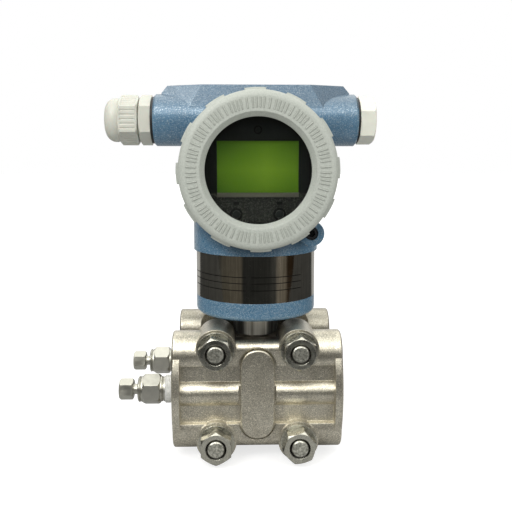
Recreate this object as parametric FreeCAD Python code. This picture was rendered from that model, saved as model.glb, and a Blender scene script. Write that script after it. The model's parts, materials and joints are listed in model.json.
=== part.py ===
import FreeCAD, Part
import math
import os

from FreeCAD import Vector

# Differential pressure transmitter, in millimetres.
# Built about the neck's axis: X to the right along the conduit hubs and flanges, Y to the back,
# Z up, with Z = 0 at the height of the two process ports.
# Everything is moved at export, so that the row's origin is the middle of the process face.

# Process interface
PORT_SPACING = 54.0            # between the two process ports, front to back
TAP_SPACING = 41.3             # between the upper and lower tapped holes of a flange
TAP_RADIUS = 4.95
TAP_DEPTH = 15.0
PORT_RADIUS = 5.8              # quarter inch pipe thread
PORT_DEPTH = 14.0
PASSAGE_RADIUS = 3.0
CHAMBER_PORT_RADIUS = 2.5      # from the passage to the chamber over the diaphragm

# Process flanges
FLANGE_HALF_LENGTH = 48.7
CAPSULE_HALF_THICKNESS = 14.0  # the flanges clamp the capsule at this distance from the middle
FLANGE_DEPTH = 26.0
RIB_TOP = 34.5                 # height of the rounded upper and lower ribs
RIB_EDGE_ANGLE = 20.0          # the rib's round runs this far below its widest point
PANEL_DEPTH = 4.0              # how far the flat panels lie behind the ribs
PASSAGE_RIB_HALF = 7.1         # half the height of the middle rib, over the passage
PASSAGE_RIB_RISE = 4.5
PAD_THICKNESS = 4.5            # machined pad at each end
PAD_BULGE = 4.5                # the pad stands this far out in front of the ribs
PAD_EDGE = 1.4
WAIST_HALF = 17.0              # the plainer stretch between the bolt lugs
WAIST_TOP = 31.0
WAIST_ROUND = 5.0
RELIEF_FLOOR = 24.0             # between the lugs the top is cut down to this, round the neck
RELIEF_DEPTH = 14.0
LUG_RADIUS = 11.5
LUG_PROUD = 0.5
BOSS_WIDTH = 19.2              # long round-ended boss in the middle of the face
BOSS_LENGTH = 52.0
BOSS_RISE = 1.0                # above the flange's middle height
BOSS_PROUD = 2.0
BOSS_EDGE = 1.0
GROOVE_WIDTH = 1.0
GROOVE_DEPTH = 1.6

# Clamping studs
STUD_INSET = 25.2              # from a flange's end to its studs
STUD_Z = 27.0
STUD_RADIUS = 5.0
STUD_HOLE = 5.5
STUD_PAST_NUT = 1.1
STUD_EDGE = 0.7
NUT_FLATS = 17.0
NUT_HEIGHT = 8.4
NUT_SINK = 0.9                 # countersink at each end of a nut's thread
WASHER_RADIUS = 10.4
WASHER_HOLE = 5.3
WASHER_THICKNESS = 2.0
FRONT_NUT_TURNS = (15.0, -3.0, 0.0, -16.0)   # upper left, upper right, lower left, lower right
REAR_NUT_TURNS = (22.0, 8.0, -12.0, 4.0)

# Sensor capsule and gaskets
CAPSULE_TO_STUD = 3.8          # clear of the clamping studs
CAPSULE_WELD = 0.6
CAPSULE_WELD_HALF = 2.0
RIPPLES = 3
RIPPLE_PITCH = 4.0
RIPPLE_HALF = 1.0
RIPPLE_DEPTH = 0.6
SOCKET_RISE = 1.0              # of the neck's socket over the capsule
SOCKET_RADIUS = 13.95
CHAMBER_RADIUS = 18.0
CHAMBER_DEPTH = 1.2
GASKET_INNER = 20.0
GASKET_OUTER = 23.0
GASKET_THICKNESS = 1.6

# Neck
NECK_RADIUS = 13.75
NECK_BORE = 6.0
NECK_THREAD_RADIUS = 13.0
NECK_THREAD_LENGTH = 18.0
RUNNING_GAP = 0.05
CLEAR_GAP = 0.3

# Electronics housing
HOUSING_BOTTOM = 41.5
BAND_RADIUS = 36.3
BAND_HEIGHT = 10.6
BAND_ROUND = 3.0
PLATE_THICKNESS = 0.6
PLATE_HEIGHT = 27.4
PLATE_SEAM = 6.0
COLLAR_RADIUS = 37.7
BARREL_Z = 128.0
BARREL_RADIUS = 40.5
BARREL_HALF = 36.7
FRONT_CHAMBER_DEPTH = 22.7     # from the barrel's front end to the dividing wall
DIVIDER_THICKNESS = 3.0
CHAMBER_BORE = 34.0
RIBBON_HALF = 5.0
RIBBON_DROP = 20.0             # from the barrel's axis to the top of the ribbon slot
HUB_RISE = 29.2                # above the barrel's axis
HUB_RADIUS = 15.5
HUB_END = 60.5
HUB_EDGE = 1.2
CONDUIT_RADIUS = 10.0
CONDUIT_INNER_END = 15.0
BLOCK_RISE = 20.2              # of its top above the hubs' axis
BLOCK_HALF_DEPTH = 11.0        # at its top; it gets deeper downwards and runs into the hubs
BLOCK_FRONT_HALF = 32.0
BLOCK_TIP = 57.0
BLOCK_TIP_HALF_DEPTH = 1.0
BLOCK_FLAT_END = 52.6
BLOCK_SLANT_END = 56.1
BLOCK_SLANT_DROP = 4.3
BLOCK_FOOT_RISE = 3.5          # of its foot, inside the hubs, above their axis
BLOCK_FOOT_SPREAD = 9.0        # its front is that much wider each way at the foot
BLOCK_FOOT_SINK = 0.7          # from the hubs' surface to its foot
EAR_X = 30.5
EAR_DROP = 35.6
EAR_RADIUS = 7.2
EAR_ROOT = 16.0
EAR_HOLE = 3.8
EAR_HOLE_DEPTH = 12.0
LOCK_SCREW_RADIUS = 3.5
LOCK_SCREW_LENGTH = 11.0
LOCK_SOCKET = 4.0
LOCK_SOCKET_TURN = 20.0
SET_SCREW_RADIUS = 2.5
SET_SCREW_LENGTH = 12.0
SET_SCREW_SOCKET = 2.5
SET_SCREW_DEPTH = 3.0          # how far the screw lies inside the band

# Covers
COVER_DEPTH = 20.0
COVER_RADIUS = 42.6
COVER_FRONT_RADIUS = 38.8
COVER_ROUND_DEPTH = 4.4
COVER_ROUND_BOW = 0.72         # how far the round's middle leans out, from 0 to 1
LUG_HEIGHT = 1.3               # of the grip lugs
GRIP_LUGS = 12
GRIP_LUG_WIDTH = 15.0
GRIP_LUG_PHASE = 2.0
GRIP_LUG_BACK = 0.8
GRIP_LUG_LENGTH = 14.6
SPIGOT_RADIUS = 36.0
SPIGOT_LENGTH = 10.0
SPIGOT_BORE = 31.5
GROOVE_BACK = 1.2              # from the cover's shoulder to the seal groove
GROOVE_LONG = 2.6
GROOVE_FLOOR = 33.6
RING_SECTION = 0.9
RING_FLAT = 0.4                # half of each flat where the ring is squeezed
WINDOW_RADIUS = 28.5
WINDOW_BEVEL_RADIUS = 31.0
WINDOW_BEVEL_DEPTH = 3.5
GLASS_RADIUS = 31.4
GLASS_THICKNESS = 3.0
RETAINER_THICKNESS = 2.4
RETAINER_INNER = 28.8
REAR_COVER_WALL = 5.0

# Display and electronics
MODULE_RADIUS = 29.0
MODULE_LENGTH = 16.0
PILLAR_LENGTH = 4.0
PILLAR_FLATS = 4.5
PILLAR_CIRCLE = 23.0
BOARD_THICKNESS = 1.6
BEZEL_RADIUS = 30.6
BEZEL_WALL = 1.0
BEZEL_FACE = 2.0
BEZEL_EDGE = 0.8
BEZEL_IN_COVER = 11.5          # from the cover's face back to the bezel's
LCD_WIDTH = 44.2
LCD_HEIGHT = 27.9
LCD_RISE = 1.9                 # above the barrel's axis
LCD_MARGIN = 1.5
LCD_THICKNESS = 2.4
LEDGE_HEIGHT = 2.4
LEDGE_PROUD = 0.9
DIMPLE_RISE = 21.7             # small moulded ring over the display
DIMPLE_OUTER = 1.5
DIMPLE_INNER = 1.0
DIMPLE_DEPTH = 0.4
BEZEL_SCREW_DROP = 27.0        # screw at the lower edge of the bezel
BEZEL_SCREW_RADIUS = 1.6
BEZEL_SCREW_PROUD = 0.8
BEZEL_SCREW_SOCKET = 1.5
BUTTON_X = 11.7
BUTTON_DROP = 23.7             # below the barrel's axis
BUTTON_RADIUS = 1.9
BUTTON_PROUD = 0.5
BUTTON_COLLAR = 2.6
BUTTON_COLLAR_THICKNESS = 1.0
BUTTON_TAIL = 3.0
BUTTON_RING = 3.1
BUTTON_RING_PROUD = 0.35

# Terminal block, at the back
TERMINAL_RADIUS = 33.4
TERMINAL_THICKNESS = 20.0
TERMINAL_RISE = 16.0           # of its flat top above the barrel's axis
BARRIER_HEIGHT = 9.0
BARRIER_THICKNESS = 2.0
BARRIER_DROP = 14.0
TERMINAL_PITCH = 14.0
TERMINAL_SCREWS = 3
TERMINAL_DROP = 2.0            # of the screws below the barrel's axis
TERMINAL_SCREW_RADIUS = 4.0
TERMINAL_SCREW_HEAD = 3.0
TERMINAL_SCREW_SHANK = 2.0
TERMINAL_SCREW_DEPTH = 8.0
TERMINAL_SLOT = 1.0

# Cable gland, on the left hub
SEAL_THICKNESS = 1.5
SEAL_OUTER = 13.9
GLAND_FLATS = 26.0
GLAND_HEX_LENGTH = 7.0
GLAND_THREAD = 9.95
GLAND_THREAD_LENGTH = 14.0
GLAND_BORE = 7.0
GLAND_NECK_RADIUS = 11.0
GLAND_NECK_LENGTH = 10.0
GLAND_SEAT_RADIUS = 8.4
GLAND_SEAT_DEPTH = 8.0
GLAND_NUT_GAP = 0.6
GLAND_NUT_LENGTH = 19.8
GLAND_NUT_HEX_LENGTH = 11.5
GLAND_DOME_RADIUS = 12.6
GLAND_MOUTH = 6.6
GLAND_NUT_WALL = 2.0
GLAND_DOME_BOW = 0.76
GLAND_FLUTES = 5
GLAND_FLUTE_DEPTH = 0.4
GLAND_FLUTE_HALF = 0.6
GLAND_FLUTE_INSET = 1.5
GLAND_FLUTE_PITCH = 2.6
INSERT_RADIUS = 8.1
INSERT_BORE = 5.0
INSERT_LENGTH = 14.0

# Blanking plug, on the right hub
PLUG_SEAL_THICKNESS = 1.3
PLUG_FLATS = 25.4
PLUG_LENGTH = 9.4
PLUG_EDGE = 1.2
PLUG_TURN = 10.6
PLUG_THREAD_LENGTH = 11.0

# Vent valves, on the flanges' left ends
TAPE_RADIUS = 8.0
TAPE_LENGTH = 4.5
VENT_SHANK = 6.9
VENT_NECK_RADIUS = 7.3
VENT_NECK_LENGTH = 3.0
VENT_FLATS = 15.8
VENT_HEX_LENGTH = 10.0
VENT_END_RADIUS = 7.5
VENT_END_LENGTH = 2.9
VENT_RING_GROOVE = 0.6
VENT_THREAD_LENGTH = 11.0
VENT_BORE = 3.05
VENT_SEAT_BORE = 1.6
VENT_SEAT_DEPTH = 2.5
STEM_RADIUS = 3.0
STEM_SHOWN = 3.0
STEM_HEAD_FLATS = 10.6
STEM_HEAD_LENGTH = 8.0
STEM_HEAD_EDGE = 0.7
STEM_TURN = 12.0
BALL_RADIUS = 2.4
BALL_SOCKET = 1.2

FLANGE_OUT = CAPSULE_HALF_THICKNESS + FLANGE_DEPTH
PORT_Y = PORT_SPACING / 2
RIB_RADIUS = FLANGE_DEPTH / 2
RIB_Z = RIB_TOP - RIB_RADIUS
RIB_MIDDLE = CAPSULE_HALF_THICKNESS + RIB_RADIUS
STUD_X = FLANGE_HALF_LENGTH - STUD_INSET
CAPSULE_RADIUS = math.hypot(STUD_X, STUD_Z) - STUD_RADIUS - CAPSULE_TO_STUD
SOCKET_TOP = CAPSULE_RADIUS + SOCKET_RISE
RELIEF_HALF = STUD_X - LUG_RADIUS
LUG_OUT = FLANGE_OUT + LUG_PROUD
WASHER_OUT = LUG_OUT + WASHER_THICKNESS
NUT_OUT = WASHER_OUT + NUT_HEIGHT
PLATE_BOTTOM = HOUSING_BOTTOM + BAND_HEIGHT
PLATE_TOP = PLATE_BOTTOM + PLATE_HEIGHT
PLATE_SEAT = BAND_RADIUS - PLATE_THICKNESS
COVER_BORE = SPIGOT_RADIUS + RUNNING_GAP
COVER_BACK = BARREL_HALF + CLEAR_GAP
COVER_SWEEP = COVER_RADIUS + LUG_HEIGHT + 2 * CLEAR_GAP
COVER_FRONT = COVER_BACK + COVER_DEPTH
SPIGOT_END = COVER_BACK - SPIGOT_LENGTH
THREAD_END = SPIGOT_END - 0.5
GLASS_FRONT = COVER_FRONT - WINDOW_BEVEL_DEPTH - 0.6
GLASS_BACK = GLASS_FRONT - GLASS_THICKNESS
DIVIDER_FRONT = BARREL_HALF - FRONT_CHAMBER_DEPTH
DIVIDER_REAR = DIVIDER_FRONT - DIVIDER_THICKNESS
TERMINAL_FRONT = TERMINAL_THICKNESS - DIVIDER_REAR
MODULE_FRONT = DIVIDER_FRONT + MODULE_LENGTH
BOARD_BACK = MODULE_FRONT + PILLAR_LENGTH
BOARD_FRONT = BOARD_BACK + BOARD_THICKNESS
BOARD_RADIUS = BEZEL_RADIUS - CLEAR_GAP
BEZEL_FRONT = COVER_FRONT - BEZEL_IN_COVER
BEZEL_BACK = BEZEL_FRONT - BEZEL_FACE
LCD_Z = BARREL_Z + LCD_RISE
BUTTON_Z = BARREL_Z - BUTTON_DROP
HUB_Z = BARREL_Z + HUB_RISE
BLOCK_TOP = HUB_Z + BLOCK_RISE
BLOCK_SLANT_Z = BLOCK_TOP - BLOCK_SLANT_DROP
BLOCK_FOOT_Z = HUB_Z + BLOCK_FOOT_RISE
BLOCK_DEEPENING = HUB_RADIUS - BLOCK_FOOT_SINK - BLOCK_HALF_DEPTH
EAR_Z = BARREL_Z - EAR_DROP
TERMINAL_Z = BARREL_Z - TERMINAL_DROP
TERMINAL_TOP = BARREL_Z + TERMINAL_RISE
CORNER = 2 / math.sqrt(3)      # across the corners of a hexagon, for one across its flats
TINY = 1e-6

X, Y, Z = Vector(1, 0, 0), Vector(0, 1, 0), Vector(0, 0, 1)


def face(steps, place):
    """A flat face; a step is a corner, or a pair: a point on an arc and the arc's end."""
    here = place(*steps[0])
    edges = []
    for step in steps[1:] + [steps[0]]:
        if isinstance(step[0], tuple):
            end = place(*step[1])
            edges.append(Part.Arc(here, place(*step[0]), end).toShape())
        else:
            end = place(*step)
            if here.distanceToPoint(end) > TINY:
                edges.append(Part.LineSegment(here, end).toShape())
        here = end
    return Part.Face(Part.Wire(edges))


def turned(steps, base, axis):
    """A solid turned about an axis, from an outline of (radius, distance along the axis)."""
    side = Z.cross(axis) if abs(axis.z) < 0.5 else X
    outline = face(steps, lambda radius, along: base + side * radius + axis * along)
    return outline.revolve(base, axis, 360)


def ring(outer, inner, start, end, base, axis):
    return turned([(inner, start), (outer, start), (outer, end), (inner, end)], base, axis)


def rod(radius, start, end, base, axis):
    return Part.makeCylinder(radius, end - start, base + axis * start, axis)


def hexagon(flats, start, end, base, axis, turn=0.0):
    """A hexagonal bar; with no turn a corner points along Z, or along X on an upright axis."""
    up = Z if abs(axis.z) < 0.5 else X
    side = axis.cross(up)
    radius = flats * CORNER / 2
    corners = []
    for k in range(6):
        angle = math.radians(60 * k + turn)
        offset = up * (radius * math.cos(angle)) + side * (radius * math.sin(angle))
        corners.append(base + offset + axis * start)
    return Part.Face(Part.makePolygon(corners + corners[:1])).extrude(axis * (end - start))


def edged(flats, start, end, base, axis, turn, start_edge, end_edge):
    """A hexagonal bar whose corners are turned off at one or both ends."""
    full = flats * CORNER / 2 + TINY
    low = flats / 2
    steps = [(0, start), (low if start_edge else full, start), (full, start + start_edge),
             (full, end - end_edge), (low if end_edge else full, end), (0, end)]
    return hexagon(flats, start, end, base, axis, turn).common(turned(steps, base, axis))


def box(low, high):
    return Part.makeBox(high[0] - low[0], high[1] - low[1], high[2] - low[2], Vector(*low))


def joined(shapes):
    return shapes[0].fuse(shapes[1:]).removeSplitter()


def rounded(shape, radius, chosen):
    """Rounds the edges whose middle the function chosen accepts."""
    edges = [e for e in shape.Edges if chosen(e.CenterOfMass)]
    return shape.makeFillet(radius, edges)


def stud_places():
    return [Vector(x, 0, z) for z in (STUD_Z, -STUD_Z) for x in (-STUD_X, STUD_X)]


# Process flanges

def flange_bar_outline():
    """Section of a flange between its lugs and its end pad: two round ribs and a passage rib."""
    edge = math.radians(RIB_EDGE_ANGLE)
    rib_u = RIB_MIDDLE + RIB_RADIUS * math.cos(edge)
    rib_z = RIB_Z - RIB_RADIUS * math.sin(edge)
    return [(CAPSULE_HALF_THICKNESS, -RIB_Z), (CAPSULE_HALF_THICKNESS, RIB_Z),
            ((RIB_MIDDLE, RIB_TOP), (rib_u, rib_z))] + panel_steps(rib_u, rib_z) + [
            ((RIB_MIDDLE, -RIB_TOP), (CAPSULE_HALF_THICKNESS, -RIB_Z))]


def panel_steps(rib_u, rib_z):
    """The flat panels and the passage rib between them, from the upper rib to the lower one."""
    panel = FLANGE_OUT - PANEL_DEPTH
    return [(panel, rib_z - CLEAR_GAP), (panel, PASSAGE_RIB_HALF),
            ((panel + PASSAGE_RIB_RISE, 0), (panel, -PASSAGE_RIB_HALF)),
            (panel, CLEAR_GAP - rib_z), (rib_u, -rib_z)]


def flange_waist_outline():
    """Section between the lugs, where the top and bottom are flat with a rounded front edge."""
    edge = math.radians(RIB_EDGE_ANGLE)
    rib_u = RIB_MIDDLE + RIB_RADIUS * math.cos(edge)
    rib_z = RIB_Z - RIB_RADIUS * math.sin(edge)
    inner, start = CAPSULE_HALF_THICKNESS, FLANGE_OUT - WAIST_ROUND
    slack = WAIST_ROUND * (1 - math.sqrt(0.5))
    low = WAIST_TOP - WAIST_ROUND
    return [(inner, -WAIST_TOP), (inner, WAIST_TOP), (start, WAIST_TOP),
            ((FLANGE_OUT - slack, WAIST_TOP - slack), (FLANGE_OUT, low)), (rib_u, rib_z),
            *panel_steps(rib_u, rib_z), (FLANGE_OUT, -low),
            ((FLANGE_OUT - slack, slack - WAIST_TOP), (start, -WAIST_TOP))]


def flange_pad_outline():
    return [(CAPSULE_HALF_THICKNESS, -RIB_Z), (CAPSULE_HALF_THICKNESS, RIB_Z),
            ((RIB_MIDDLE, RIB_TOP), (FLANGE_OUT, RIB_Z)),
            ((FLANGE_OUT + PAD_BULGE, 0), (FLANGE_OUT, -RIB_Z)),
            ((RIB_MIDDLE, -RIB_TOP), (CAPSULE_HALF_THICKNESS, -RIB_Z))]


def front_bar(outline, low_x, high_x):
    return face(outline, lambda out, z: Vector(low_x, -out, z)).extrude(X * (high_x - low_x))


def round_ended(width, length, low_out, high_out):
    """An upright bar with round ends on the flange's face."""
    radius = width / 2
    top = length / 2 - radius
    steps = [(-radius, -top), (-radius, top), ((0, top + radius), (radius, top)), (radius, -top),
             ((0, -top - radius), (-radius, -top))]
    lower = face(steps, lambda x, z: Vector(x, -low_out, z + BOSS_RISE))
    return lower.extrude(-Y * (high_out - low_out))


def end_pad(side):
    inner, outer = FLANGE_HALF_LENGTH - PAD_THICKNESS, FLANGE_HALF_LENGTH
    pad = front_bar(flange_pad_outline(), min(side * inner, side * outer), max(side * inner, side * outer))
    return rounded(pad, PAD_EDGE, lambda m: abs(m.x - side * outer) < TINY)


def flange_body():
    pad_start = FLANGE_HALF_LENGTH - PAD_THICKNESS
    relief_end = CAPSULE_HALF_THICKNESS + RELIEF_DEPTH
    relief = box((-RELIEF_HALF, -relief_end, RELIEF_FLOOR), (RELIEF_HALF, 0, WAIST_TOP + 1))
    pieces = [front_bar(flange_waist_outline(), -WAIST_HALF, WAIST_HALF).cut(relief)]
    for side in (-1, 1):
        ends = sorted((side * WAIST_HALF, side * pad_start))
        pieces.append(front_bar(flange_bar_outline(), *ends))
        pieces.append(end_pad(side))
    pieces += [rod(LUG_RADIUS, CAPSULE_HALF_THICKNESS, LUG_OUT, place, -Y) for place in stud_places()]
    body = joined(pieces)
    groove_floor = FLANGE_OUT - GROOVE_DEPTH
    groove_size = (BOSS_WIDTH + 2 * GROOVE_WIDTH, BOSS_LENGTH + 2 * GROOVE_WIDTH)
    body = body.cut(round_ended(*groove_size, groove_floor, LUG_OUT + BOSS_PROUD))
    boss = round_ended(BOSS_WIDTH, BOSS_LENGTH, groove_floor, FLANGE_OUT + BOSS_PROUD)
    boss = rounded(boss, BOSS_EDGE, lambda m: abs(m.y + FLANGE_OUT + BOSS_PROUD) < TINY)
    return joined([body, boss])


def flange_holes():
    """Stud holes, process and vent ports, the passage between them and the chamber."""
    port = Vector(0, -PORT_Y, 0)
    depth = FLANGE_HALF_LENGTH - PORT_DEPTH
    holes = [rod(STUD_HOLE, CAPSULE_HALF_THICKNESS - 1, LUG_OUT + 1, place, -Y) for place in stud_places()]
    holes += [rod(PORT_RADIUS, depth, FLANGE_HALF_LENGTH + 1, port, axis) for axis in (X, -X)]
    holes.append(rod(PASSAGE_RADIUS, -depth, depth, port, X))
    holes.append(rod(CHAMBER_PORT_RADIUS, CAPSULE_HALF_THICKNESS - 1, PORT_Y, Vector(0, 0, 0), -Y))
    for z in (-TAP_SPACING / 2, TAP_SPACING / 2):
        start = FLANGE_HALF_LENGTH - TAP_DEPTH
        holes.append(rod(TAP_RADIUS, start, FLANGE_HALF_LENGTH + 1, Vector(0, -PORT_Y, z), X))
    inner = CAPSULE_HALF_THICKNESS
    origin = Vector(0, 0, 0)
    holes.append(rod(CHAMBER_RADIUS, inner - 1, inner + CHAMBER_DEPTH, origin, -Y))
    holes.append(ring(GASKET_OUTER, GASKET_INNER, inner - 1, inner + GASKET_THICKNESS, origin, -Y))
    return holes


def to_rear(shape):
    """The same casting, turned to the back of the capsule as a mirror image."""
    return shape.mirror(Vector(0, 0, 0), Y)


def front_flange():
    return flange_body().cut(flange_holes())


def gaskets():
    inner = CAPSULE_HALF_THICKNESS
    return [ring(GASKET_OUTER, GASKET_INNER, inner, inner + GASKET_THICKNESS, Vector(0, 0, 0), axis)
            for axis in (-Y, Y)]


def capsule():
    """Welded disc with a rippled diaphragm on each side and a socket for the neck on top."""
    half, weld = CAPSULE_HALF_THICKNESS, CAPSULE_RADIUS - CAPSULE_WELD
    steps = [(0, -half)]
    crests = [RIPPLE_PITCH * (k + 1) for k in range(RIPPLES)]
    for crest in crests:
        steps += [(crest - RIPPLE_HALF, -half), (crest, RIPPLE_DEPTH - half), (crest + RIPPLE_HALF, -half)]
    steps += [(CAPSULE_RADIUS, -half), (CAPSULE_RADIUS, -CAPSULE_WELD_HALF), (weld, -CAPSULE_WELD_HALF),
              (weld, CAPSULE_WELD_HALF), (CAPSULE_RADIUS, CAPSULE_WELD_HALF), (CAPSULE_RADIUS, half)]
    for crest in reversed(crests):
        steps += [(crest + RIPPLE_HALF, half), (crest, half - RIPPLE_DEPTH), (crest - RIPPLE_HALF, half)]
    steps.append((0, half))
    disc = turned(steps, Vector(0, 0, 0), Y)
    socket = rod(SOCKET_RADIUS, CAPSULE_RADIUS - SOCKET_RADIUS, SOCKET_TOP, Vector(0, 0, 0), Z)
    bore = rod(NECK_BORE, CAPSULE_RADIUS - SOCKET_RADIUS, SOCKET_TOP + 1, Vector(0, 0, 0), Z)
    return joined([disc, socket]).cut(bore)


# Studs, nuts and washers

def studs():
    reach = NUT_OUT + STUD_PAST_NUT
    tip = STUD_RADIUS - STUD_EDGE
    steps = [(0, -reach), (tip, -reach), (STUD_RADIUS, STUD_EDGE - reach), (STUD_RADIUS, reach - STUD_EDGE),
             (tip, reach), (0, reach)]
    return [turned(steps, place, Y) for place in stud_places()]


def washers(axis):
    return [ring(WASHER_RADIUS, WASHER_HOLE, LUG_OUT, WASHER_OUT, place, axis) for place in stud_places()]


def nuts(axis, turns):
    hole = STUD_RADIUS + RUNNING_GAP
    edge = NUT_FLATS * (CORNER - 1) / 2
    sunk = hole + NUT_SINK
    steps = [(0, WASHER_OUT), (sunk, WASHER_OUT), (hole, WASHER_OUT + NUT_SINK), (hole, NUT_OUT - NUT_SINK),
             (sunk, NUT_OUT), (0, NUT_OUT)]
    found = []
    for place, turn in zip(stud_places(), turns):
        body = edged(NUT_FLATS, WASHER_OUT, NUT_OUT, place, axis, turn, edge, edge)
        found.append(body.cut(turned(steps, place, axis)))
    return found


# Neck, housing and nameplate

def neck_tube():
    top = HOUSING_BOTTOM + NECK_THREAD_LENGTH
    steps = [(NECK_BORE, SOCKET_TOP), (NECK_RADIUS, SOCKET_TOP), (NECK_RADIUS, HOUSING_BOTTOM),
             (NECK_THREAD_RADIUS, HOUSING_BOTTOM), (NECK_THREAD_RADIUS, top), (NECK_BORE, top)]
    return turned(steps, Vector(0, 0, 0), Z)


def housing_neck():
    corner = BAND_RADIUS - BAND_ROUND
    slack = BAND_ROUND * (1 - math.sqrt(0.5))
    steps = [(0, HOUSING_BOTTOM), (corner, HOUSING_BOTTOM),
             ((BAND_RADIUS - slack, HOUSING_BOTTOM + slack), (BAND_RADIUS, HOUSING_BOTTOM + BAND_ROUND)),
             (BAND_RADIUS, PLATE_BOTTOM), (PLATE_SEAT, PLATE_BOTTOM), (PLATE_SEAT, PLATE_TOP),
             (COLLAR_RADIUS, PLATE_TOP), (COLLAR_RADIUS, BARREL_Z), (0, BARREL_Z)]
    return turned(steps, Vector(0, 0, 0), Z)


def block_level(height, wider, deeper):
    """Corners of the block at one height, anticlockwise from above."""
    front, tip = BLOCK_FRONT_HALF + wider, BLOCK_TIP + wider
    depth, tip_depth = BLOCK_HALF_DEPTH + deeper, BLOCK_TIP_HALF_DEPTH + deeper
    corners = [(-front, -depth), (front, -depth), (tip, -tip_depth), (tip, tip_depth),
               (front, depth), (-front, depth), (-tip, tip_depth), (-tip, -tip_depth)]
    return [Vector(x, y, height) for x, y in corners]


def housing_block():
    """The block over the hubs: its faces lean back like a roof's, and its ends slant."""
    top = block_level(BLOCK_TOP, 0, 0)
    foot = block_level(BLOCK_FOOT_Z, BLOCK_FOOT_SPREAD, BLOCK_DEEPENING)
    loops = [top, foot]
    for i in range(len(top)):
        loops.append([top[i - 1], top[i], foot[i], foot[i - 1]])
    faces = [Part.Face(Part.makePolygon(loop + loop[:1])) for loop in loops]
    roof = Part.makeSolid(Part.makeShell(faces))
    if roof.Volume < 0:
        roof.reverse()
    ends = [(-BLOCK_SLANT_END, HUB_Z), (-BLOCK_SLANT_END, BLOCK_SLANT_Z), (-BLOCK_FLAT_END, BLOCK_TOP),
            (BLOCK_FLAT_END, BLOCK_TOP), (BLOCK_SLANT_END, BLOCK_SLANT_Z), (BLOCK_SLANT_END, HUB_Z)]
    side = face(ends, lambda x, z: Vector(x, -HUB_RADIUS, z))
    return roof.common(side.extrude(Y * (2 * HUB_RADIUS)))


def housing_hubs():
    steps = [(0, -HUB_END), (HUB_RADIUS - HUB_EDGE, -HUB_END), (HUB_RADIUS, HUB_EDGE - HUB_END),
             (HUB_RADIUS, HUB_END - HUB_EDGE), (HUB_RADIUS - HUB_EDGE, HUB_END), (0, HUB_END)]
    return turned(steps, Vector(0, 0, HUB_Z), X)


def ear_places():
    """The cover locks stand at the front on the right and at the back on the left."""
    return [(Vector(EAR_X, 0, EAR_Z), -Y), (Vector(-EAR_X, 0, EAR_Z), Y)]


def electronics_housing():
    barrel_centre = Vector(0, 0, BARREL_Z)
    solids = [housing_neck(), rod(BARREL_RADIUS, -BARREL_HALF, BARREL_HALF, barrel_centre, Y),
              housing_hubs(), housing_block()]
    ear_end = BARREL_HALF - CLEAR_GAP
    solids += [rod(EAR_RADIUS, EAR_ROOT, ear_end, place, axis) for place, axis in ear_places()]
    body = joined(solids)
    cuts = []
    for axis, floor in ((-Y, DIVIDER_FRONT), (Y, -DIVIDER_REAR)):
        steps = [(0, floor), (CHAMBER_BORE, floor), (CHAMBER_BORE, THREAD_END), (COVER_BORE, THREAD_END),
                 (COVER_BORE, BARREL_HALF + 1), (0, BARREL_HALF + 1)]
        cuts.append(turned(steps, barrel_centre, axis))
        cuts.append(rod(COVER_SWEEP, BARREL_HALF, COVER_FRONT, barrel_centre, axis))
    for axis in (-X, X):
        cuts.append(rod(CONDUIT_RADIUS, CONDUIT_INNER_END, HUB_END + 1, Vector(0, 0, HUB_Z), axis))
    neck_bore = NECK_THREAD_RADIUS + RUNNING_GAP
    neck_top = HOUSING_BOTTOM + NECK_THREAD_LENGTH + CLEAR_GAP
    cuts.append(rod(neck_bore, HOUSING_BOTTOM - 1, neck_top, Vector(0, 0, 0), Z))
    slot_front = DIVIDER_FRONT + 2 * RIBBON_HALF
    low = (-RIBBON_HALF, -slot_front, neck_top - 1)
    cuts.append(box(low, (RIBBON_HALF, -RIBBON_HALF, BARREL_Z - RIBBON_DROP)))
    for place, axis in ear_places():
        cuts.append(rod(EAR_HOLE, BARREL_HALF - EAR_HOLE_DEPTH, BARREL_HALF + 1, place, axis))
    cuts.append(rod(SET_SCREW_RADIUS, neck_bore - 1, BAND_RADIUS + 1, set_screw_place(), Y))
    return body.cut(cuts)


def set_screw_place():
    return Vector(0, 0, HOUSING_BOTTOM + BAND_HEIGHT / 2 + 0.5)


def set_screw():
    end = BAND_RADIUS - SET_SCREW_DEPTH
    body = rod(SET_SCREW_RADIUS, end - SET_SCREW_LENGTH, end, set_screw_place(), Y)
    return body.cut(hexagon(SET_SCREW_SOCKET, end - SET_SCREW_SOCKET, end + 1, set_screw_place(), Y))


def lock_screws():
    """A socket screw sunk in each ear: a wider head over a thread that fills its hole's floor."""
    found = []
    floor = BARREL_HALF - EAR_HOLE_DEPTH
    for place, axis in ear_places():
        end = floor + LOCK_SCREW_LENGTH
        body = rod(LOCK_SCREW_RADIUS, floor, end, place, axis)
        socket = hexagon(LOCK_SOCKET, end - LOCK_SOCKET, end + 1, place, axis, LOCK_SOCKET_TURN)
        found.append(body.cut(socket))
    return found


def nameplate():
    wrap = ring(BAND_RADIUS, PLATE_SEAT, PLATE_BOTTOM, PLATE_TOP, Vector(0, 0, 0), Z)
    seam = box((-PLATE_SEAM / 2, 0, PLATE_BOTTOM - 1), (PLATE_SEAM / 2, BAND_RADIUS + 1, PLATE_TOP + 1))
    return wrap.cut(seam)


# Covers

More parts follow.
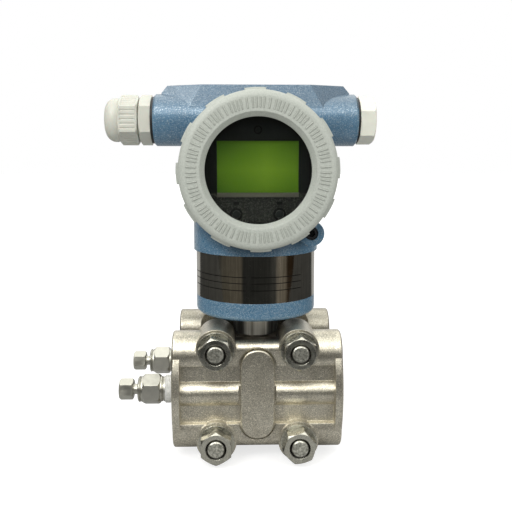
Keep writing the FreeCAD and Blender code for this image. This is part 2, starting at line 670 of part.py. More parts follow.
def cover_shell_steps():
    """Outside of a cover, from the end of its thread to the edge of its front face."""
    start = COVER_FRONT - COVER_ROUND_DEPTH
    out = COVER_FRONT_RADIUS + (COVER_RADIUS - COVER_FRONT_RADIUS) * COVER_ROUND_BOW
    mid = (out, start + COVER_ROUND_DEPTH * COVER_ROUND_BOW)
    groove_end = COVER_BACK - GROOVE_BACK
    return [(SPIGOT_RADIUS, SPIGOT_END), (SPIGOT_RADIUS, groove_end - GROOVE_LONG),
            (GROOVE_FLOOR, groove_end - GROOVE_LONG), (GROOVE_FLOOR, groove_end),
            (SPIGOT_RADIUS, groove_end), (SPIGOT_RADIUS, COVER_BACK), (COVER_RADIUS, COVER_BACK),
            (COVER_RADIUS, start), (mid, (COVER_FRONT_RADIUS, COVER_FRONT))]


def grip_lugs(axis):
    """Low raised lugs around a cover's side, with their front ends sloped."""
    low = COVER_BACK + GRIP_LUG_BACK
    high = low + GRIP_LUG_LENGTH
    outer, inner = COVER_RADIUS + LUG_HEIGHT, COVER_RADIUS - 1
    steps = [(inner, low), (outer, low), (outer, high - LUG_HEIGHT), (inner, high)]
    found = []
    base = Vector(0, 0, BARREL_Z)
    for k in range(GRIP_LUGS):
        angle = math.radians(GRIP_LUG_PHASE - GRIP_LUG_WIDTH / 2 + k * 360 / GRIP_LUGS)
        side = X * math.cos(angle) + Z * math.sin(angle)
        outline = face(steps, lambda radius, along: base + side * radius + axis * along)
        found.append(outline.revolve(base, -Y, GRIP_LUG_WIDTH))
    return found


def front_cover():
    base = Vector(0, 0, BARREL_Z)
    bevel = COVER_FRONT - WINDOW_BEVEL_DEPTH
    retainer = GLASS_BACK - RETAINER_THICKNESS
    inside = [(WINDOW_BEVEL_RADIUS, COVER_FRONT), (WINDOW_RADIUS, bevel), (WINDOW_RADIUS, GLASS_FRONT),
              (GLASS_RADIUS, GLASS_FRONT), (GLASS_RADIUS, retainer), (SPIGOT_BORE, retainer),
              (SPIGOT_BORE, SPIGOT_END)]
    return joined([turned(cover_shell_steps() + inside, base, -Y)] + grip_lugs(-Y))


def rear_cover():
    base = Vector(0, 0, BARREL_Z)
    floor = COVER_FRONT - REAR_COVER_WALL
    inside = [(0, COVER_FRONT), (0, floor), (SPIGOT_BORE, floor), (SPIGOT_BORE, SPIGOT_END)]
    return joined([turned(cover_shell_steps() + inside, base, Y)] + grip_lugs(Y))


def cover_seal(axis):
    """The O-ring in the groove behind a cover's shoulder, squeezed flat on its sides."""
    along = COVER_BACK - GROOVE_BACK - GROOVE_LONG / 2
    radius = GROOVE_FLOOR + CLEAR_GAP + RING_SECTION
    steps = []
    for u, v in ((-1, -RING_FLAT), (-1, RING_FLAT), (-RING_FLAT, 1), (RING_FLAT, 1),
                 (1, RING_FLAT), (1, -RING_FLAT), (RING_FLAT, -1), (-RING_FLAT, -1)):
        steps.append((radius + u * RING_SECTION, along + v * RING_SECTION))
    return turned(steps, Vector(0, 0, BARREL_Z), axis)


def window_glass():
    return rod(GLASS_RADIUS - RUNNING_GAP, GLASS_BACK, GLASS_FRONT, Vector(0, 0, BARREL_Z), -Y)


def glass_retainer():
    base = Vector(0, 0, BARREL_Z)
    body = ring(GLASS_RADIUS, RETAINER_INNER, GLASS_BACK - RETAINER_THICKNESS, GLASS_BACK, base, -Y)
    notch = (GLASS_RADIUS - RETAINER_INNER) / 2
    notches = []
    for sx in (-1, 1):
        x = sx * RETAINER_INNER
        low, high = -GLASS_BACK + 1, -GLASS_BACK + RETAINER_THICKNESS + 1
        notches.append(box((x - notch, low, BARREL_Z - notch), (x + notch, high, BARREL_Z + notch)))
    return body.cut(notches)


# Display and electronics

def electronics_module():
    return rod(MODULE_RADIUS, DIVIDER_FRONT, MODULE_FRONT, Vector(0, 0, BARREL_Z), -Y)


def module_pillars():
    found = []
    for k in range(4):
        angle = math.radians(45 + 90 * k)
        place = Vector(PILLAR_CIRCLE * math.cos(angle), 0, BARREL_Z + PILLAR_CIRCLE * math.sin(angle))
        found.append(hexagon(PILLAR_FLATS, MODULE_FRONT, BOARD_BACK, place, -Y))
    return found


def display_board():
    return rod(BOARD_RADIUS, BOARD_BACK, BOARD_FRONT, Vector(0, 0, BARREL_Z), -Y)


def lcd_box(grow, back, front):
    half_x, half_z = LCD_WIDTH / 2 + grow, LCD_HEIGHT / 2 + grow
    return box((-half_x, -front, LCD_Z - half_z), (half_x, -back, LCD_Z + half_z))


def lcd_panel():
    return lcd_box(LCD_MARGIN, BEZEL_BACK - LCD_THICKNESS, BEZEL_BACK)


def display_bezel():
    """Moulded cup over the board: the display's opening, a ledge, three rings and a screw's head."""
    base = Vector(0, 0, BARREL_Z)
    wall = BEZEL_RADIUS - BEZEL_WALL
    steps = [(0, BEZEL_BACK), (wall, BEZEL_BACK), (wall, BOARD_FRONT), (BEZEL_RADIUS, BOARD_FRONT),
             (BEZEL_RADIUS, BEZEL_FRONT - BEZEL_EDGE), (BEZEL_RADIUS - BEZEL_EDGE, BEZEL_FRONT),
             (0, BEZEL_FRONT)]
    ledge_top = LCD_Z - LCD_HEIGHT / 2
    half = LCD_WIDTH / 2
    low = (-half, -BEZEL_FRONT - LEDGE_PROUD, ledge_top - LEDGE_HEIGHT)
    ledge = box(low, (half, -BEZEL_FRONT, ledge_top))
    screw = base - Z * BEZEL_SCREW_DROP
    head = BEZEL_FRONT + BEZEL_SCREW_PROUD
    solids = [turned(steps, base, -Y), ledge, rod(BEZEL_SCREW_RADIUS, BEZEL_FRONT, head, screw, -Y)]
    dimple = BEZEL_FRONT - DIMPLE_DEPTH
    cuts = [lcd_box(0, BEZEL_BACK - 1, BEZEL_FRONT + 1),
            ring(DIMPLE_OUTER, DIMPLE_INNER, dimple, BEZEL_FRONT + 1, base + Z * DIMPLE_RISE, -Y),
            hexagon(BEZEL_SCREW_SOCKET, BEZEL_FRONT, head + 1, screw, -Y)]
    for place in button_places():
        solids.append(rod(BUTTON_RING, BEZEL_FRONT, BEZEL_FRONT + BUTTON_RING_PROUD, place, -Y))
        cuts.append(rod(BUTTON_RADIUS + CLEAR_GAP, BEZEL_BACK - 1, BEZEL_FRONT + 1, place, -Y))
    return joined(solids).cut(cuts)


def button_places():
    return [Vector(x, 0, BUTTON_Z) for x in (-BUTTON_X, BUTTON_X)]


def button(place):
    """A pin through the bezel with a collar behind it, which keeps it from falling out."""
    front, collar = BEZEL_FRONT + BUTTON_PROUD, BEZEL_BACK - CLEAR_GAP / 2
    steps = [(0, collar - BUTTON_TAIL), (BUTTON_RADIUS, collar - BUTTON_TAIL),
             (BUTTON_RADIUS, collar - BUTTON_COLLAR_THICKNESS),
             (BUTTON_COLLAR, collar - BUTTON_COLLAR_THICKNESS), (BUTTON_COLLAR, collar),
             (BUTTON_RADIUS, collar), (BUTTON_RADIUS, front), (0, front)]
    return turned(steps, place, -Y)


def terminal_block():
    """Moulded block on the dividing wall, flat on top and below the conduits, with barriers."""
    base = Vector(0, 0, BARREL_Z)
    body = rod(TERMINAL_RADIUS, -DIVIDER_REAR, TERMINAL_FRONT, base, Y)
    reach = TERMINAL_RADIUS + 1
    low, high = (-reach, -DIVIDER_REAR - 1, TERMINAL_TOP), (reach, TERMINAL_FRONT + 1, BARREL_Z + reach)
    body = body.cut(box(low, high))
    top, bottom = TERMINAL_Z + BARRIER_DROP, TERMINAL_Z - BARRIER_DROP
    half = BARRIER_THICKNESS / 2
    wall_end = TERMINAL_FRONT + BARRIER_HEIGHT
    walls = []
    for k in range(TERMINAL_SCREWS + 1):
        x = (k - TERMINAL_SCREWS / 2) * TERMINAL_PITCH
        walls.append(box((x - half, TERMINAL_FRONT, bottom), (x + half, wall_end, top)))
    holes = [rod(TERMINAL_SCREW_SHANK, TERMINAL_FRONT - TERMINAL_SCREW_DEPTH, TERMINAL_FRONT + 1, place, Y)
             for place in terminal_places()]
    return joined([body] + walls).cut(holes)


def terminal_places():
    first = -(TERMINAL_SCREWS - 1) / 2
    return [Vector((first + k) * TERMINAL_PITCH, 0, TERMINAL_Z) for k in range(TERMINAL_SCREWS)]


def terminal_screws():
    tip, head = TERMINAL_FRONT - TERMINAL_SCREW_DEPTH, TERMINAL_FRONT + TERMINAL_SCREW_HEAD
    steps = [(0, tip), (TERMINAL_SCREW_SHANK, tip), (TERMINAL_SCREW_SHANK, TERMINAL_FRONT),
             (TERMINAL_SCREW_RADIUS, TERMINAL_FRONT), (TERMINAL_SCREW_RADIUS, head), (0, head)]
    found = []
    for place in terminal_places():
        half, wide = TERMINAL_SLOT / 2, TERMINAL_SCREW_RADIUS + 1
        low = (place.x - wide, head - TERMINAL_SLOT, place.z - half)
        high = (place.x + wide, head + 1, place.z + half)
        found.append(turned(steps, place, Y).cut(box(low, high)))
    return found


# Cable gland and blanking plug

def hub_place():
    return Vector(0, 0, HUB_Z)


def gland_washer():
    return ring(SEAL_OUTER, CONDUIT_RADIUS, HUB_END, HUB_END + SEAL_THICKNESS, hub_place(), -X)


GLAND_HEX_START = HUB_END + SEAL_THICKNESS
GLAND_HEX_END = GLAND_HEX_START + GLAND_HEX_LENGTH
GLAND_NECK_END = GLAND_HEX_END + GLAND_NECK_LENGTH
GLAND_NUT_START = GLAND_HEX_END + GLAND_NUT_GAP
GLAND_NUT_END = GLAND_NUT_START + GLAND_NUT_LENGTH


def gland_body():
    base = hub_place()
    hexagonal = edged(GLAND_FLATS, GLAND_HEX_START, GLAND_HEX_END, base, -X, 0, 0, 1.2)
    start = GLAND_HEX_START - GLAND_THREAD_LENGTH
    thread = rod(GLAND_THREAD, start, GLAND_HEX_START, base, -X)
    neck = rod(GLAND_NECK_RADIUS, GLAND_HEX_END, GLAND_NECK_END, base, -X)
    seat = GLAND_NECK_END - GLAND_SEAT_DEPTH
    cone = GLAND_SEAT_RADIUS - GLAND_BORE
    steps = [(0, start - 1), (GLAND_BORE, start - 1), (GLAND_BORE, seat - cone), (GLAND_SEAT_RADIUS, seat),
             (GLAND_SEAT_RADIUS, GLAND_NECK_END + 1), (0, GLAND_NECK_END + 1)]
    return joined([hexagonal, thread, neck]).cut(turned(steps, base, -X))


def insert_start():
    return GLAND_NECK_END - GLAND_SEAT_DEPTH + CLEAR_GAP


def gland_insert():
    return ring(INSERT_RADIUS, INSERT_BORE, insert_start(), insert_start() + INSERT_LENGTH, hub_place(), -X)


def gland_nut():
    """Dome nut: a ribbed hexagon and a rounded end with the cable's mouth."""
    base = hub_place()
    hex_end = GLAND_NUT_START + GLAND_NUT_HEX_LENGTH
    hexagonal = edged(GLAND_FLATS, GLAND_NUT_START, hex_end, base, -X, 0, 1.0, 1.4)
    shoulder = GLAND_MOUTH + GLAND_NUT_WALL
    depth = GLAND_NUT_END - hex_end
    mid = (shoulder + (GLAND_DOME_RADIUS - shoulder) * GLAND_DOME_BOW, hex_end + depth * GLAND_DOME_BOW)
    dome = turned([(0, hex_end), (GLAND_DOME_RADIUS, hex_end), (mid, (shoulder, GLAND_NUT_END)),
                   (0, GLAND_NUT_END)], base, -X)
    body = joined([hexagonal, dome])
    bore = GLAND_NECK_RADIUS + RUNNING_GAP
    insert_end = insert_start() + INSERT_LENGTH + CLEAR_GAP
    inside = [(0, GLAND_NUT_START - 1), (bore, GLAND_NUT_START - 1), (bore, GLAND_NECK_END + 1),
              (INSERT_RADIUS + CLEAR_GAP, GLAND_NECK_END + 3), (INSERT_RADIUS + CLEAR_GAP, insert_end),
              (GLAND_MOUTH, insert_end), (GLAND_MOUTH, GLAND_NUT_END + 1), (0, GLAND_NUT_END + 1)]
    return body.cut([turned(inside, base, -X)] + nut_flutes(base, hex_end))


def nut_flutes(base, hex_end):
    """Shallow grip flutes along each flat of the dome nut."""
    found = []
    low, high = GLAND_NUT_START + GLAND_FLUTE_INSET, hex_end - GLAND_FLUTE_INSET
    flat = GLAND_FLATS / 2
    for k in range(6):
        angle = math.radians(60 * k + 30)
        out = Z * math.cos(angle) + Y * math.sin(angle)
        across = Z * -math.sin(angle) + Y * math.cos(angle)
        for n in range(GLAND_FLUTES):
            shift = (n - (GLAND_FLUTES - 1) / 2) * GLAND_FLUTE_PITCH
            wide, deep = GLAND_FLUTE_HALF, GLAND_FLUTE_DEPTH
            steps = [(shift - 2 * wide, flat + deep), (shift, flat - deep), (shift + 2 * wide, flat + deep)]
            vee = face(steps, lambda a, r: base + across * a + out * r - X * low)
            found.append(vee.extrude(-X * (high - low)))
    return found


def plug_seal():
    inner = GLAND_THREAD + RUNNING_GAP + CLEAR_GAP
    return ring(SEAL_OUTER - 0.4, inner, HUB_END, HUB_END + PLUG_SEAL_THICKNESS, hub_place(), X)


def blanking_plug():
    base = hub_place()
    start = HUB_END + PLUG_SEAL_THICKNESS
    head = edged(PLUG_FLATS, start, start + PLUG_LENGTH, base, X, PLUG_TURN, 0, PLUG_EDGE)
    return joined([head, rod(GLAND_THREAD, start - PLUG_THREAD_LENGTH, start, base, X)])


# Vent valves

VENT_NECK_START = FLANGE_HALF_LENGTH + TAPE_LENGTH
VENT_HEX_START = VENT_NECK_START + VENT_NECK_LENGTH
VENT_HEX_END = VENT_HEX_START + VENT_HEX_LENGTH
VENT_END = VENT_HEX_END + VENT_END_LENGTH
STEM_HEAD_START = VENT_END + STEM_SHOWN
VENT_TIP = FLANGE_HALF_LENGTH - VENT_THREAD_LENGTH
BALL_PLACE = VENT_TIP + VENT_SEAT_DEPTH + math.sqrt((BALL_RADIUS + CLEAR_GAP) ** 2 - VENT_SEAT_BORE ** 2)


def vent_places():
    return Vector(0, -PORT_Y, 0), Vector(0, PORT_Y, 0)


def vent_body(place):
    """Seat body: a pipe thread, ringed neck, hexagon and ringed end, bored for the stem."""
    thread = PORT_RADIUS - RUNNING_GAP
    groove = VENT_RING_GROOVE
    neck_mid, end_mid = VENT_NECK_START + VENT_NECK_LENGTH / 2, VENT_HEX_END + VENT_END_LENGTH / 2
    steps = [(0, VENT_TIP), (thread, VENT_TIP), (thread, FLANGE_HALF_LENGTH),
             (VENT_SHANK, FLANGE_HALF_LENGTH), (VENT_SHANK, VENT_NECK_START),
             (VENT_NECK_RADIUS, VENT_NECK_START),
             (VENT_NECK_RADIUS, neck_mid - groove), (VENT_NECK_RADIUS - groove, neck_mid),
             (VENT_NECK_RADIUS, neck_mid + groove), (VENT_NECK_RADIUS, VENT_HEX_END),
             (VENT_END_RADIUS, VENT_HEX_END), (VENT_END_RADIUS, end_mid - groove),
             (VENT_END_RADIUS - groove, end_mid), (VENT_END_RADIUS, end_mid + groove),
             (VENT_END_RADIUS, VENT_END - groove), (VENT_END_RADIUS - groove, VENT_END), (0, VENT_END)]
    edge = VENT_FLATS * (CORNER - 1) / 2
    hexagonal = edged(VENT_FLATS, VENT_HEX_START, VENT_HEX_END, place, -X, 0, edge, edge)
    bore = [(0, VENT_TIP - 1), (VENT_SEAT_BORE, VENT_TIP - 1), (VENT_SEAT_BORE, VENT_TIP + VENT_SEAT_DEPTH),
            (VENT_BORE, VENT_TIP + VENT_SEAT_DEPTH), (VENT_BORE, VENT_END + 1), (0, VENT_END + 1)]
    return joined([turned(steps, place, -X), hexagonal]).cut(turned(bore, place, -X))


def vent_tapes():
    return [ring(TAPE_RADIUS, VENT_SHANK, FLANGE_HALF_LENGTH, VENT_NECK_START, place, -X)
            for place in vent_places()]


def vent_stem(place):
    """Threaded stem with a hexagon head; its inner end is cupped for the seat ball."""
    base = place
    start = BALL_PLACE + BALL_SOCKET
    shaft = rod(STEM_RADIUS, start, STEM_HEAD_START, base, -X)
    end = STEM_HEAD_START + STEM_HEAD_LENGTH
    head = edged(STEM_HEAD_FLATS, STEM_HEAD_START, end, base, -X, STEM_TURN, STEM_HEAD_EDGE, STEM_HEAD_EDGE)
    cup = Part.makeSphere(BALL_RADIUS + CLEAR_GAP, base - X * BALL_PLACE)
    return joined([shaft, head]).cut(cup)


def vent_ball(place):
    return Part.makeSphere(BALL_RADIUS, place - X * BALL_PLACE)


def save(name, shapes):
    """Writes one named sub-part, moved so that the process face lies at X = 0."""
    solids = shapes if isinstance(shapes, list) else [shapes]
    found = []
    for shape in solids:
        found += shape.Solids
    for solid in found:
        if not solid.isValid() or solid.Volume <= 0:
            raise ValueError(name + " is not a sound solid")
    whole = Part.makeCompound(found) if len(found) > 1 else found[0]
    whole.translate(Vector(-FLANGE_HALF_LENGTH, 0, 0))
    whole.exportStep("parts/" + name + ".step")


def main():
    os.makedirs("parts", exist_ok=True)
    front = front_flange()
    save("front_flange", front)
    save("rear_flange", to_rear(front))
    save("flange_gaskets", gaskets())
    save("sensor_capsule", capsule())
    save("clamp_studs", studs())
    save("front_washers", washers(-Y))
    save("rear_washers", washers(Y))
    save("front_nuts", nuts(-Y, FRONT_NUT_TURNS))
    save("rear_nuts", nuts(Y, REAR_NUT_TURNS))
    save("neck_tube", neck_tube())
    save("electronics_housing", electronics_housing())
    save("neck_set_screw", set_screw())
    save("cover_lock_screws", lock_screws())
    save("nameplate", nameplate())
    save("front_cover", front_cover())
    save("rear_cover", rear_cover())
    save("front_cover_seal", cover_seal(-Y))
    save("rear_cover_seal", cover_seal(Y))
    save("window_glass", window_glass())
    save("glass_retainer", glass_retainer())
    save("electronics_module", electronics_module())
    save("module_pillars", module_pillars())
    save("display_board", display_board())
    save("lcd_panel", lcd_panel())
    save("display_bezel", display_bezel())
    for name, place in zip(("left_button", "right_button"), button_places()):
        save(name, button(place))
    save("terminal_block", terminal_block())
    save("terminal_screws", terminal_screws())
    save("gland_washer", gland_washer())
    save("gland_body", gland_body())
    save("gland_insert", gland_insert())
    save("gland_nut", gland_nut())
    save("plug_seal", plug_seal())
    save("blanking_plug", blanking_plug())
    for name, place in zip(("front", "rear"), vent_places()):
        save(name + "_vent_body", vent_body(place))
        save(name + "_vent_stem", vent_stem(place))
        save(name + "_vent_ball", vent_ball(place))
    save("vent_tapes", vent_tapes())


main()
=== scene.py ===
import json
import math

import bmesh
import bpy
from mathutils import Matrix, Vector
from mathutils.bvhtree import BVHTree


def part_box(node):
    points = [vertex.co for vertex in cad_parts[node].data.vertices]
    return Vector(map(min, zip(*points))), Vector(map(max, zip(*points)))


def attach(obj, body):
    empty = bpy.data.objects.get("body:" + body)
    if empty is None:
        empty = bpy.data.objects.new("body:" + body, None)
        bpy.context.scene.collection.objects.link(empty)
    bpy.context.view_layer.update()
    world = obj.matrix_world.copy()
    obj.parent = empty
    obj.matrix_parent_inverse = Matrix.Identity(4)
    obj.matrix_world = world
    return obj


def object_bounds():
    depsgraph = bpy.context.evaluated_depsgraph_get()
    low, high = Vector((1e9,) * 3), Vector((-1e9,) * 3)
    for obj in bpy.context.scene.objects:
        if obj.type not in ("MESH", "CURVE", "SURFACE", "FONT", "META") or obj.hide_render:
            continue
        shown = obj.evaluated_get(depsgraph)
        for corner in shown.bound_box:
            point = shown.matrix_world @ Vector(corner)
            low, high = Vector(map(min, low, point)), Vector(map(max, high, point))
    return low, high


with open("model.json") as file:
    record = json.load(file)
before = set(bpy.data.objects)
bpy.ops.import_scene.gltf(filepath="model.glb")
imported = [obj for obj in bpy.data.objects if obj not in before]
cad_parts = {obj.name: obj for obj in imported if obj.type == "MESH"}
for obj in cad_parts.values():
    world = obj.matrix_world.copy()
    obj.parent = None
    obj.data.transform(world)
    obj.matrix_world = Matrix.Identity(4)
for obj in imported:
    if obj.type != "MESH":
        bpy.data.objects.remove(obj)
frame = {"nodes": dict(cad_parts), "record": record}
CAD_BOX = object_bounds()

MM = 0.001

# The photograph's camera: x from the neck's axis, y and z from the frame's origin
PHOTO_WIDTH = 512                  # pixels
FOCAL_PIXELS = 652.0
PRINCIPAL_ABOVE_CENTRE = 31.0      # pixels between the picture's centre and the lens axis
CAMERA_PLACE = Vector((-11.4, -399.0, 135.5)) * MM
CAMERA_PITCH = 6.0                 # degrees down
CAMERA_YAW = 1.68                  # degrees to the right
SENSOR_WIDTH = 36.0                # millimetres, as the lens is stated

# Floor
FLOOR_HALF = 6.0                   # to each side and to the back
FLOOR_FRONT = -0.2                 # in front of this the polished faces show the room
FLOOR_SHEET = (0.13, 0.26)         # the pale sheet under the object ends between these distances
FLOOR_WAVER = 0.02                 # of the sheet's edge
FLOOR_WEDGE = 0.95                 # straight behind the object the floor is pale, in a wedge this steep
WEDGE_EDGE = 0.03
FLOOR_TONES = (0.44, 0.008)        # of the pale floor, and of the dark floor round it
FLOOR_GLOW = 0.72                  # added to the pale floor, as the camera sees it

# The world's colours. Polished and satin faces are the ones that give glossy rays.
ROOM_LIGHT = (0.82, 0.82, 0.80)    # on rough faces, from the sides
CEILING = (1.15, 1.15, 1.12)       # on rough faces, from above
CEILING_SHINE = (2.1, 2.1, 2.0)    # as the polished and satin faces show it
CEILING_BAND = (0.36, 0.8)         # it takes over from the sides between these shares of straight up
SOFTBOX = (4.2, 4.18, 3.98)        # a bright window above, in front and to the left, for the same faces
SOFTBOX_HEIGHTS = (0.40, 0.54, 0.74, 0.88)     # where it begins, is full, fades and ends
SOFTBOX_TURNS = (-85, -55, 0, 34)              # the same in degrees, counted as in the room below

# The room that the polished faces show: degrees from the camera's side, right positive
ROOM = (
    (-180, (0.9, 0.9, 0.9)), (-152, (0.8, 0.8, 0.8)), (-138, (0.07, 0.07, 0.065)),
    (-75, (0.06, 0.06, 0.055)), (-64, (0.11, 0.10, 0.08)), (-30, (0.14, 0.125, 0.10)),
    (-24, (0.03, 0.031, 0.03)), (24, (0.035, 0.036, 0.034)), (37, (0.07, 0.07, 0.065)),
    (41, (0.24, 0.215, 0.18)), (57, (0.19, 0.165, 0.13)), (62, (0.035, 0.022, 0.012)),
    (142, (0.03, 0.02, 0.012)), (154, (0.8, 0.8, 0.8)), (180, (0.9, 0.9, 0.9)),
)

# Lamps: name, place with x from the neck's axis, width and height, power
LAMP_AIM = 0.07                    # height that they point at
LAMPS = (
    ("key", (-0.55, -0.75, 0.75), (0.5, 0.5), 4.4),
    ("fill", (0.8, -0.55, 0.35), (0.5, 0.7), 1.4),
    ("top", (0.0, 0.1, 1.0), (0.7, 0.5), 0.3),
)

# Plain raised bars round the window, in place of lettering: one bar, then two pairs, and so on
MARKS = 56
MARK_CYCLE = 3                     # every third place has one bar, the others have a pair
MARK_MIDDLE = 35.5 * MM            # from the window's axis
MARK_LENGTH = 5.4 * MM
MARK_STROKE = 0.42 * MM            # half the width of one bar
PAIR_OFF = 2.4 * MARK_STROKE       # from a pair's middle to the middle of its bars
PAIR_STROKE = 0.8 * MARK_STROKE
MARK_HEIGHT = 0.5 * MM
MARK_ROOT = 0.3 * MM               # how far a bar's foot is sunk in the cover
MARK_TOP = 0.8                     # width of a bar's top, as a share of its foot's
MARK_ROUND = 0.16 * MM
MARK_SOFT = 0.16 * MM              # half the width of the painted shade along a bar's edge
MARK_SHADE = 2.2                   # a quarter of this is the painted shade's share there

# Lines engraved in the nameplate
RULE_RISES = (7.6 * MM, 11.6 * MM, 15.2 * MM)
RULE_HALF_WIDTH = 0.22 * MM
RULE_HALF_LENGTH = 30.5 * MM
RULE_GAP_HALF = 1.5 * MM           # left plain at their middle
RULE_SHIFT = 5.0 * MM              # of their middle, to the left

# The display's surround
LCD_MARGIN = 1.5 * MM
LEDGE_HEIGHT = 2.4 * MM
LEDGE_DEPTH = 0.5 * MM
BUTTON_RING = (3.0 * MM, 0.4 * MM)     # middle radius and half width of the dark line round a button
BUTTON_MARK = (1.5 * MM, 0.75 * MM)    # half sizes of the plain bar over a button
BUTTON_MARK_RISE = 6.0 * MM
DIMPLE_RISE = 21.7 * MM                # of the ring over the display, from the window's middle
DIMPLE_RING = (1.9 * MM, 0.35 * MM)
DISPLAY_HIGHLIGHT = (0.6, 0.45)           # the middle of its painted reflection, its brightest spot, as shares of its width and height

# Other details
FLAKE = 2900                           # cells in a metre, of the paint's flake and the castings' sand
FLAKE_BRIGHT = (0.84, 0.9)             # the tones where the dull flakes end and the bright ones begin
STUD_PLACE = (23.5 * MM, 27.0 * MM)    # across and up from the capsule's middle
THREAD_SHADE = (4.3 * MM, 4.7 * MM)     # from a stud's axis, where painted shade in the thread begins and is full
NECK_SHADING = 13.0 * MM               # from the neck's axis, the reach of its shading
TAPE_PITCH = 0.9 * MM


def middle(node):
    low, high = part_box(node)
    return (low + high) / 2


NECK_X = middle("neck_tube").x
HUB_Z = middle("blanking_plug").z
WINDOW = middle("window_glass")
CAPSULE = middle("sensor_capsule")
COVER_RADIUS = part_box("front_cover")[1].x - WINDOW.x

# Painted shade on the housing: over the hubs and on faces that look up to the right, and a painted shadow
# under the cover's rim
HUB_SHADE = 0.45
HUB_SHADE_RISE = (HUB_Z + 4.0 * MM, HUB_Z + 11.0 * MM)
TILTED_SHADE = 0.85
TILTED_RIGHT = (0.1, 0.4)              # the normal's part to the right, where it starts and is full
TILTED_UP = (0.25, 0.35)
RIM_SHADOW = 0.8
RIM_SHADOW_REACH = (COVER_RADIUS + 1.0 * MM, COVER_RADIUS + 8.0 * MM)
RIM_SHADOW_DROP = (-0.6 * COVER_RADIUS, -0.8 * COVER_RADIUS)
BLUE_SHADE = (0.012, 0.045, 0.085)

# The step cut into each flange's top under the neck, where shade is painted
STEP_SIDE = (12.5 * MM, 15.0 * MM)     # from the neck's axis, where it fades out sideways
STEP_FRONT = (33.8 * MM, 35.2 * MM)    # and to the front and back
STEP_LEVEL = CAPSULE.z + 22.0 * MM
BROWN_SHADE = (0.10, 0.078, 0.055)


# Node trees

class Tree:
    """A shader's nodes: each call adds some and gives the socket that comes out."""

    def __init__(self, tree):
        self.nodes = tree.nodes
        self.links = tree.links

    def add(self, kind, output=0, settings=None, **inputs):
        """A node of this kind. An input goes by its name, or by its number after an underscore."""
        node = self.nodes.new(kind)
        for key, value in (settings or {}).items():
            setattr(node, key, value)
        for key, value in inputs.items():
            numbered = key[1:].isdigit()
            self.feed(node.inputs[int(key[1:]) if numbered else key.replace("_", " ")], value)
        return node.outputs[output]

    def feed(self, socket, value):
        if isinstance(value, bpy.types.NodeSocket):
            self.links.new(value, socket)
        elif socket.type == "RGBA" and len(value) == 3:
            socket.default_value = (*value, 1.0)
        else:
            socket.default_value = value

    def place(self):
        return self.add("ShaderNodeTexCoord", output="Object")

    def axes(self, vector=None):
        """The x, y and z of a vector, or of the place."""
        return self.add("ShaderNodeSeparateXYZ", Vector=vector or self.place()).node.outputs

    def ray(self, kind):
        """1 for rays of this kind, 0 for others."""
        return self.add("ShaderNodeLightPath", output=kind)

    def noise(self, scale, detail=2.0, rough=0.5, vector=None):
        return self.add("ShaderNodeTexNoise", Vector=vector or self.place(), Scale=scale, Detail=detail,
                        Roughness=rough)

    def streaks(self, scale, squeeze):
        """Upright streaks: a noise that changes slowly with height."""
        vector = self.add("ShaderNodeMapping", Vector=self.place(), Scale=(1.0, 1.0, squeeze))
        return self.noise(scale, 3, 0.6, vector)

    def flecks(self, scale):
        """A tone of its own for each small cell."""
        colour = self.add("ShaderNodeTexVoronoi", output="Color", Vector=self.place(), Scale=scale)
        return self.add("ShaderNodeSeparateColor", Color=colour)

    def ramp(self, value, *stops):
        """Colours at positions between 0 and 1: each stop is a position and a colour."""
        output = self.add("ShaderNodeValToRGB", _0=value)
        elements = output.node.color_ramp.elements
        while len(elements) < len(stops):
            elements.new(0.5)
        for element, (position, colour) in zip(elements, stops):
            element.position = position
            element.color = (*colour, 1.0)
        return output

    def spread(self, value, low, high, new_low, new_high, kind="LINEAR"):
        settings = {"interpolation_type": kind}
        return self.add("ShaderNodeMapRange", settings=settings, Value=value, From_Min=low, From_Max=high,
                        To_Min=new_low, To_Max=new_high)

    def math(self, operation, first, second=0.0, third=0.0):
        return self.add("ShaderNodeMath", settings={"operation": operation}, _0=first, _1=second, _2=third)

    def product(self, first, *others):
        for other in others:
            first = self.math("MULTIPLY", first, other)
        return first

    def off(self, value, centre):
        """How far a value is from a centre, to either side."""
        return self.math("ABSOLUTE", self.math("SUBTRACT", value, centre))

    def distance(self, across, up):
        squares = self.math("ADD", self.product(across, across), self.product(up, up))
        return self.math("SQRT", squares)

    def blend(self, share, first, second, mode="MIX"):
        settings = {"data_type": "RGBA", "blend_type": mode}
        return self.add("ShaderNodeMix", output=2, settings=settings, _0=share, _6=first, _7=second)

    def tinted(self, colour, tone):
        return self.blend(1.0, colour, tone, "MULTIPLY")

    def blend_values(self, share, first, second):
        return self.add("ShaderNodeMix", settings={"data_type": "FLOAT"}, _0=share, _2=first, _3=second)

    def soft_edges(self, radius):
        """Normals that round the sharp edges by a small radius."""
        return self.add("ShaderNodeBevel", settings={"samples": 6}, Radius=radius)

    def bump(self, height, distance, strength, normal=None):
        inputs = {"Height": height, "Distance": distance, "Strength": strength}
        if normal:
            inputs["Normal"] = normal
        return self.add("ShaderNodeBump", **inputs)


class Coat(Tree):
    """One procedural material, with the shader's constants by name."""

    def __init__(self, name, **constants):
        self.material = bpy.data.materials.new(name)
        self.material.use_nodes = True
        super().__init__(self.material.node_tree)
        self.finish(**constants)

    def finish(self, **sockets):
        shader = self.nodes["Principled BSDF"]
        for key, value in sockets.items():
            self.feed(shader.inputs[key.replace("_", " ")], value)
        return self.material


def grey(value):
    return (value, value, value)


def shaded(colour, share):
    return tuple(part * share for part in colour)


# Materials

